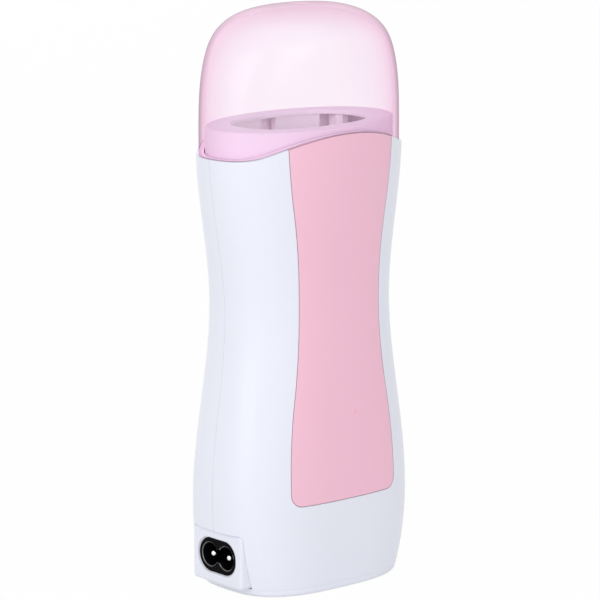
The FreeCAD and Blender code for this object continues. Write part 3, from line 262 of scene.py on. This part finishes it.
# painted light: the lens's side and the wall of its hole in the grip glow, to lighten the shade in the
# gap
LENS_SIDE_GLOW = surface("lens_side_painted_glow", (0.91, 0.525, 0.645), 0.5, glow=0.22)

SLOT_OF = {part["node"]: part["material_slot"] for part in frame["record"]["subparts"]}
SMOOTH_ANGLE = math.radians(35)


def soften(piece):
    """Rounds the shading of a faceted piece across its flatter edges."""
    piece.data.shade_smooth()
    piece.data.set_sharp_from_angle(angle=SMOOTH_ANGLE)


def add_finish(piece, finish):
    """Gives the piece one more material, and returns its number."""
    piece.data.materials.append(finish)
    return len(piece.data.materials) - 1


for node_name, piece in nodes.items():
    piece.data.materials.clear()
    piece.data.materials.append(FINISHES[SLOT_OF[node_name]])
    soften(piece)


# ---------------------------------------------------------------------------------------
# Chamfers that are too fine for the CAD solids
# ---------------------------------------------------------------------------------------

# edges sharper than this are corners; points that agree to these digits are one point
CORNER_ANGLE = math.radians(50)
SPOT_DIGITS = 6
WELD_DISTANCE = 0.000002
CHAMFER_SEGMENTS = 2

# a point this close to a plane counts as on it
ON_PLANE = 0.0001


def corner_edges(mesh):
    """The edges where two faces meet at a corner."""
    spots = [tuple(round(part, SPOT_DIGITS) for part in vertex.co) for vertex in mesh.vertices]
    normals = {}
    for face in mesh.polygons:
        for key in face.edge_keys:
            ends = frozenset(spots[index] for index in key)
            normals.setdefault(ends, []).append(face.normal)
    for edge in mesh.edges:
        sides = normals[frozenset(spots[index] for index in edge.vertices)]
        if len(sides) == 2 and sides[0].angle(sides[1]) > CORNER_ANGLE:
            yield edge


def chamfer(piece, width, finish, chosen):
    """A narrow chamfer in a finish of its own, along the corner edges whose ends are chosen."""
    mesh = piece.data
    weights = mesh.attributes.new("bevel_weight_edge", "FLOAT", "EDGE")
    for edge in list(corner_edges(mesh)):
        edge.use_edge_sharp = True
        if all(chosen(mesh.vertices[index].co) for index in edge.vertices):
            weights.data[edge.index].value = 1.0
    weld = piece.modifiers.new("join", "WELD")
    weld.merge_threshold = WELD_DISTANCE
    bevel = piece.modifiers.new("edge", "BEVEL")
    bevel.width = width
    bevel.segments = CHAMFER_SEGMENTS
    bevel.limit_method = "WEIGHT"
    bevel.use_clamp_overlap = False
    bevel.material = add_finish(piece, finish)


def box_middle(node_name):
    """The middle of a node's box."""
    return sum((Vector(corner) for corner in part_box(node_name)), Vector()) / 2


# the grips: all round their outlines, but not round the indicator's hole in the front one; the
# chamfer's darker finish is painted shade for the gap round the grips
GRIP_CHAMFER = 0.00016
LENS_CLEAR = 0.006
LENS_MIDDLE = box_middle("indicator_lens")


def clear_of_lens(spot):
    """True away from the indicator's hole."""
    return (spot - LENS_MIDDLE).length > LENS_CLEAR


# the socket: round the mouth of its recess, whose two lobes lie either side of the middle; the
# chamfer's lighter glossy finish is partly real gloss and partly a painted highlight
MOUTH_CHAMFER = 0.00025
LOBE_OFFSET = 0.0041
LOBE_REACH = 0.005
SOCKET_MIDDLE = box_middle("inlet_body")
SOCKET_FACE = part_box("inlet_body")[0][0] + ON_PLANE


def on_socket_mouth(spot):
    """True around the mouth of the figure-of-eight recess, and not on the socket's own outline."""
    aside = max(abs(spot.y - SOCKET_MIDDLE.y) - LOBE_OFFSET, 0.0)
    return spot.x < SOCKET_FACE and math.hypot(aside, spot.z - SOCKET_MIDDLE.z) < LOBE_REACH


# the bezel: round the hole in its face, in a greyer finish that paints the shade of its lip
BEZEL_CHAMFER = 0.0006
BEZEL_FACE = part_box("inlet_bezel")[0][0] + ON_PLANE


def on_bezel_mouth(spot):
    """True around the hole in the bezel's face, whose own outline is rounded already."""
    return spot.x < BEZEL_FACE


# the shells: along the seam on their narrow sides, out beyond the screw bosses, in a darker finish that
# paints the seam's shade
SEAM_CHAMFER = 0.00008
SEAM_INSET = 0.0335


def on_parting_line(spot):
    """True where one shell meets the other on a narrow side."""
    return abs(spot.y) < ON_PLANE and abs(spot.x) > SEAM_INSET


CHAMFERS = (
    ("front_grip", GRIP_CHAMFER, GRIP_GAP_SHADE, clear_of_lens),
    ("rear_grip", GRIP_CHAMFER, GRIP_GAP_SHADE, clear_of_lens),
    ("inlet_body", MOUTH_CHAMFER, SOCKET_MOUTH_SHEEN, on_socket_mouth),
    ("inlet_bezel", BEZEL_CHAMFER, BEZEL_LIP_SHADE, on_bezel_mouth),
    ("front_shell", SEAM_CHAMFER, SEAM_GAP_SHADE, on_parting_line),
    ("rear_shell", SEAM_CHAMFER, SEAM_GAP_SHADE, on_parting_line),
)
for node_name, width, finish, chosen in CHAMFERS:
    chamfer(nodes[node_name], width, finish, chosen)


# ---------------------------------------------------------------------------------------
# Faces with a finish of their own
# ---------------------------------------------------------------------------------------

# a face lies flat when its normal's share along Z is over FLAT, and runs along an axis when
# its normal's share along that axis is under ALONG
FLAT = 0.7
ALONG = 0.5


def line_cap():
    """The cap's inner faces get a finish without the dark rim, its foot one with a painted pink glow
    that lightens the shade of the gaps round it.
    """
    cap = nodes["cap"]
    low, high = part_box("cap")
    middle = Vector((0.0, 0.0, (low[2] + high[2]) / 2))
    inside, foot = add_finish(cap, CAP_INSIDE), add_finish(cap, CAP_FOOT_GLOW)
    for face in cap.data.polygons:
        if face.normal.z < -FLAT and face.center.z < middle.z:
            face.material_index = foot
        elif face.normal.dot(Vector(face.center) - middle) < 0:
            face.material_index = inside


def line_well():
    """The walls of the cartridge well get a lighter colour and a painted glow, so they stay bright in
    the shade of the rim.
    """
    deck = nodes["top_deck"]
    wall = add_finish(deck, WELL_WALL_GLOW)
    for face in deck.data.polygons:
        inward = -(face.normal.x * face.center.x + face.normal.y * face.center.y)
        if abs(face.normal.z) < ALONG and inward > 0:
            face.material_index = wall


def line_lens():
    """The side of the indicator's light pipe and the wall of its hole in the front grip get a painted
    pink glow that lightens their shade, so only a faint ring shows round it.
    """
    for piece in (nodes["indicator_lens"], nodes["front_grip"]):
        side = add_finish(piece, LENS_SIDE_GLOW)
        for face in piece.data.polygons:
            if abs(face.normal.y) < ALONG and not clear_of_lens(face.center):
                face.material_index = side


line_cap()
line_well()
line_lens()


# ---------------------------------------------------------------------------------------
# Floor and light
# ---------------------------------------------------------------------------------------

# the sky lights the object softly, and shows as plain white
SKY_COLOUR = (0.96, 0.97, 1.0, 1.0)
SKY_LIGHT = 0.6

# the floor lies a little under the object, and shows as white but for a faint shadow
FLOOR_SIZE = 8.0
FLOOR_DROP = 0.0002
FLOOR_COLOUR = (0.9, 0.9, 0.9, 1.0)
FLOOR_GLOW = 0.97

# each soft box: where it stands, its width and height, and its power in watts
LAMP_AIM = Vector((0.0, 0.0, 0.1))
SOFT_BOXES = {
    "left_box": ((-1.6, -0.35, 0.7), (1.2, 1.6), 9.9),
    "front_box": ((-0.3, -1.7, 0.8), (1.2, 1.4), 6.6),
    "top_box": ((0.0, 0.0, 1.6), (1.4, 1.4), 2.4),
    "back_box": ((0.6, 1.8, 0.6), (1.2, 1.4), 6.5),
}


def seen_rays(tree):
    """1 for rays that show a surface: from the camera, off a gloss or through glass."""
    path = tree.nodes.new("ShaderNodeLightPath").outputs
    either = math_node(tree, "MAXIMUM", path["Is Camera Ray"], path["Is Glossy Ray"])
    return math_node(tree, "MAXIMUM", either, path["Is Transmission Ray"])


def make_world():
    """White as it is seen, a softer white as the object is lit by it."""
    world = bpy.data.worlds.new("studio")
    world.use_nodes = True
    tree = world.node_tree
    tree.nodes.clear()
    output = tree.nodes.new("ShaderNodeOutputWorld")
    lit = add(tree, "ShaderNodeBackground", Color=SKY_COLOUR, Strength=SKY_LIGHT)
    seen = add(tree, "ShaderNodeBackground", Color=WHITE, Strength=1.0)
    shader = mix_shaders(tree, seen_rays(tree), lit.outputs["Background"], seen.outputs["Background"])
    feed(tree, output.inputs["Surface"], shader)
    scene.world = world


def make_floor():
    """A wide pale floor that glows where it is seen, so that its shadow stays faint."""
    bpy.ops.mesh.primitive_plane_add(size=FLOOR_SIZE, location=(0, 0, -FLOOR_DROP))
    floor = bpy.context.object
    floor.name = "floor"
    material, tree, output = new_material("floor_white")
    matt = add(tree, "ShaderNodeBsdfDiffuse", Color=FLOOR_COLOUR)
    glow = add(tree, "ShaderNodeEmission", Color=WHITE, Strength=1.0)
    share = math_node(tree, "MULTIPLY", seen_rays(tree), FLOOR_GLOW)
    shader = mix_shaders(tree, share, matt.outputs["BSDF"], glow.outputs["Emission"])
    feed(tree, output.inputs["Surface"], shader)
    floor.data.materials.append(material)


def soft_box(name, place, size, power):
    """A soft box at a place, turned to face the object."""
    data = bpy.data.lights.new(name, "AREA")
    data.shape = "RECTANGLE"
    data.size, data.size_y = size
    data.energy = power
    lamp = bpy.data.objects.new(name, data)
    scene.collection.objects.link(lamp)
    lamp.location = place
    lamp.rotation_euler = (LAMP_AIM - Vector(place)).to_track_quat("-Z", "Y").to_euler()


make_world()
make_floor()
for box_name, box_facts in SOFT_BOXES.items():
    soft_box(box_name, *box_facts)


# ---------------------------------------------------------------------------------------
# Camera
# ---------------------------------------------------------------------------------------

# fitted to the photo: where the camera stands, and how far it is turned aside and dipped, in
# radians
CAMERA_PLACE = (-0.8547, -0.9889, 0.3679)
CAMERA_TURN = 0.7128
CAMERA_DIP = 0.2023

# the lens and the sensor, in millimetres
CAMERA_LENS = 226.8
SENSOR_WIDTH = 36.0
CLIP_START = 0.01


def make_camera():
    """A camera that shows the object as the photo does."""
    data = bpy.data.cameras.new("camera")
    data.sensor_width = SENSOR_WIDTH
    data.lens = CAMERA_LENS
    data.clip_start = CLIP_START
    camera = bpy.data.objects.new("camera", data)
    scene.collection.objects.link(camera)
    camera.location = CAMERA_PLACE
    camera.rotation_euler = (math.pi / 2 - CAMERA_DIP, 0.0, -CAMERA_TURN)
    scene.camera = camera


make_camera()
scene.view_settings.view_transform = "Standard"
